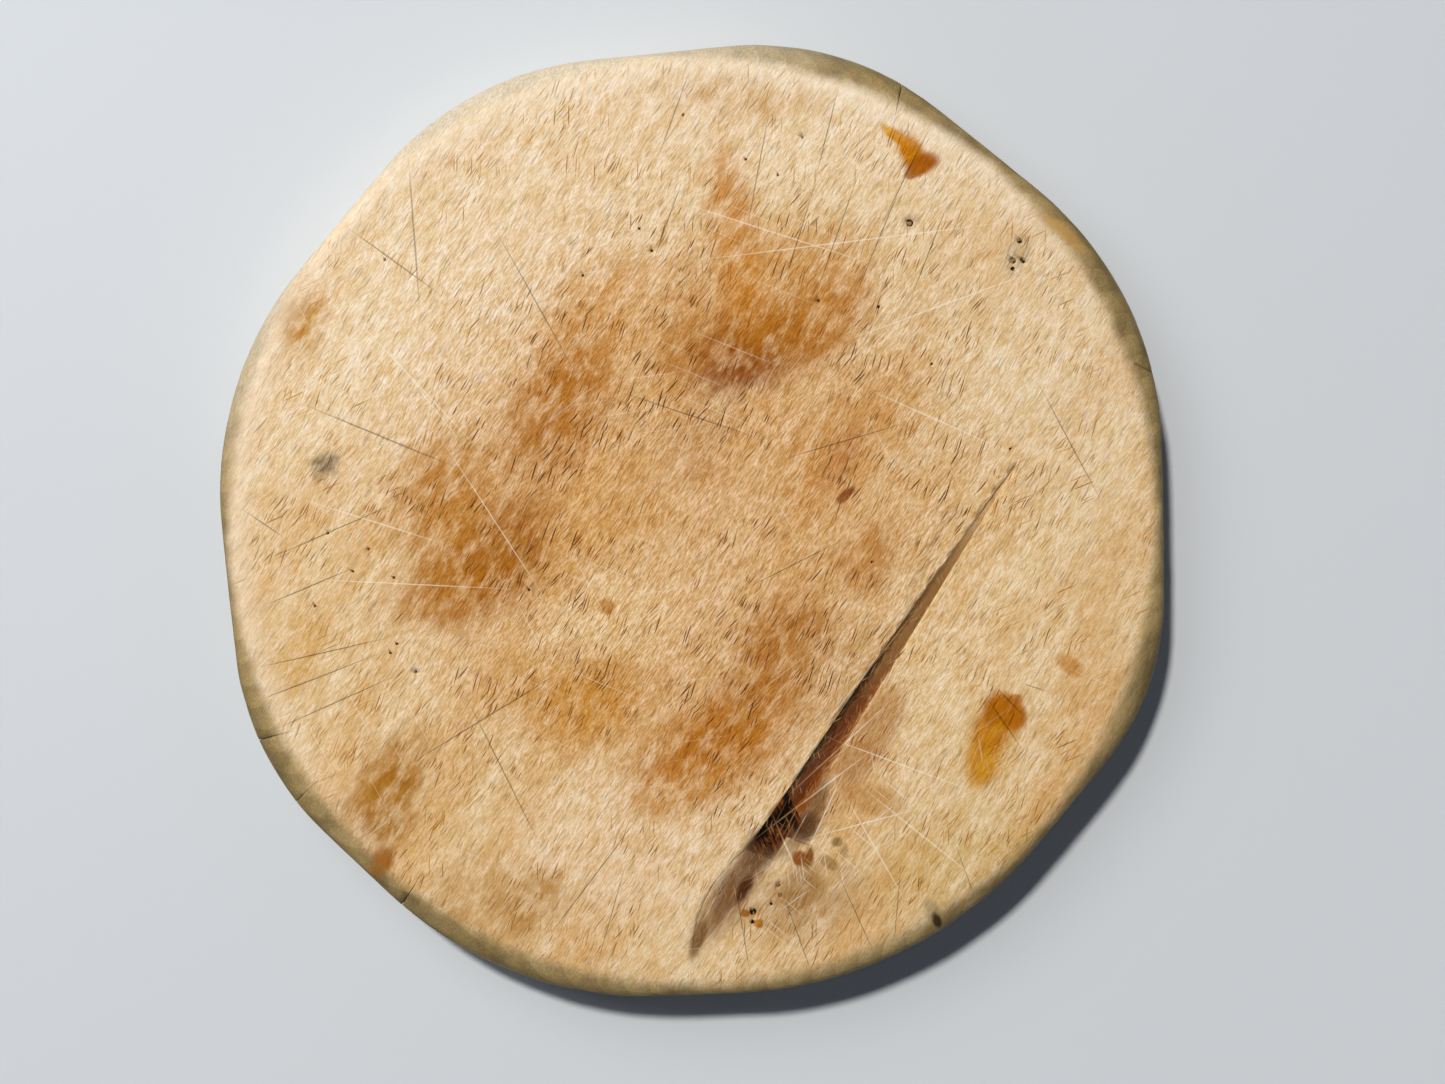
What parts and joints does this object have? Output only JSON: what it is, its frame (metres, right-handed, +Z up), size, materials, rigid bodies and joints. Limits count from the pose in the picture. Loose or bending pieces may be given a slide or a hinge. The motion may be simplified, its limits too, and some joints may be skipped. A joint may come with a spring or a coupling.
{
  "type": "cutting board",
  "caption": "Round solid-wood cutting board with a blunt eight-sided outline, softly rounded rim and a flat working face with a grown-in bark seam and dead knots.",
  "frame": {"origin": "under the middle of the board, on the face that it rests on", "axes": "+Z up, from the underside to the working face; the grain and the bark seam run up to the right at about 57 degrees from +X towards +Y; the dead knot is at the -Y side"},
  "size_m": [0.3023, 0.3047, 0.028],
  "materials": {
    "beech": "worn bare beech, patinated on the rim",
    "bark": "dry dark bark, matte",
    "dead_knot": "hard dark dead wood, matte"
  },
  "bodies": {
    "root": {"board_slab": "beech", "bark_seam_upper": "bark", "bark_seam_lower": "bark", "dead_knot": "dead_knot", "pin_knots": "dead_knot"}
  },
  "joints": []
}
